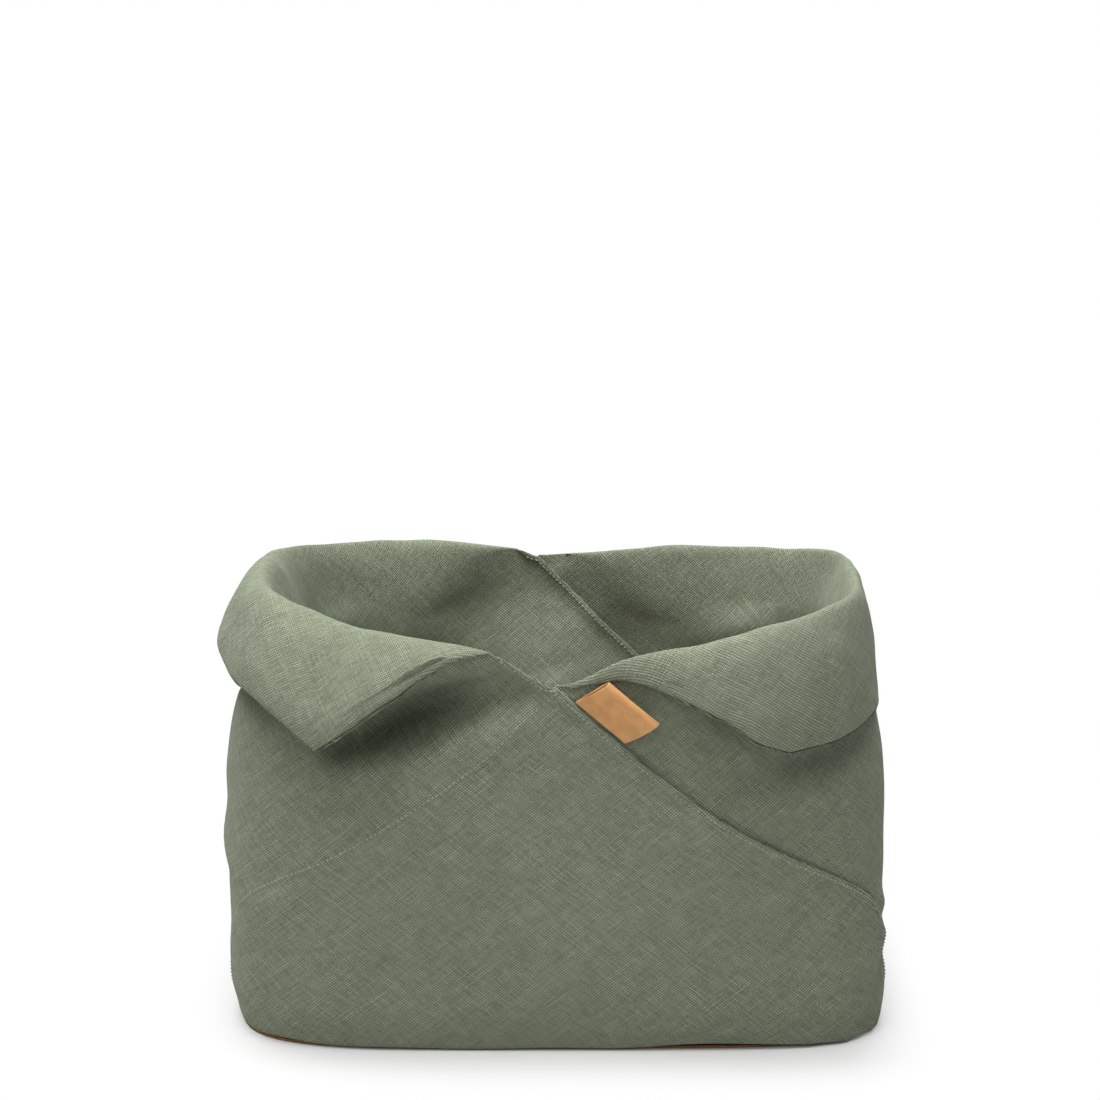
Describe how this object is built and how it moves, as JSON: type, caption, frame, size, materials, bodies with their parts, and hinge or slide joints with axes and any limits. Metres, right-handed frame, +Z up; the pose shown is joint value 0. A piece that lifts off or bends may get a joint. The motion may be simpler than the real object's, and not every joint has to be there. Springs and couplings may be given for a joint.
{
  "type": "bread bag",
  "caption": "Soft open linen bread bag of crossed hemmed panels on a stiff tan base, with its pointed corners folded down outside as a collar and a blank folded label in the front hem.",
  "frame": {"origin": "middle of the base board's underside, on the floor", "axes": "+X to the right as the front is looked at, +Y to the back, +Z up"},
  "size_m": [0.3682, 0.244, 0.2417],
  "materials": {
    "linen": "muted sage green linen, plain weave with slubs, matt",
    "thread": "sewing thread in the cloth's colour",
    "tan_board": "tan leather-like paper board, matt",
    "tan_label": "tan leather-like paper, bare"
  },
  "bodies": {
    "bag": {"base_board": "tan_board", "left_panel": "linen", "right_panel": "linen", "left_collar": "linen", "right_collar": "linen", "left_collar_thread": "thread", "right_collar_thread": "thread", "front_hem_thread": "thread", "front_seam_thread": "thread", "back_hem_thread": "thread", "back_seam_thread": "thread", "base_thread": "thread"},
    "left_ear": {"left_ear": "linen", "left_ear_thread": "thread"},
    "right_ear": {"right_ear": "linen", "right_ear_thread": "thread"},
    "label": {"label": "tan_label"}
  },
  "joints": [
    {"name": "left_ear_lift", "type": "hinge", "parent": "bag", "child": "left_ear", "pos_m": [-0.0825, -0.1, 0.22675], "axis": [-0.9788, 0.1305, 0.1579], "range_deg": [0, 150]},
    {"name": "right_ear_lift", "type": "hinge", "parent": "bag", "child": "right_ear", "pos_m": [0.0767, -0.1, 0.2213], "axis": [-0.9749, -0.0876, -0.2048], "range_deg": [0, 150]},
    {"name": "label_flip", "type": "hinge", "parent": "bag", "child": "label", "pos_m": [0.00948, -0.10593, 0.19001], "axis": [0.739, -0.061, -0.671], "range_deg": [-10, 110], "stiffness_Nm_per_rad": 0.003}
  ]
}
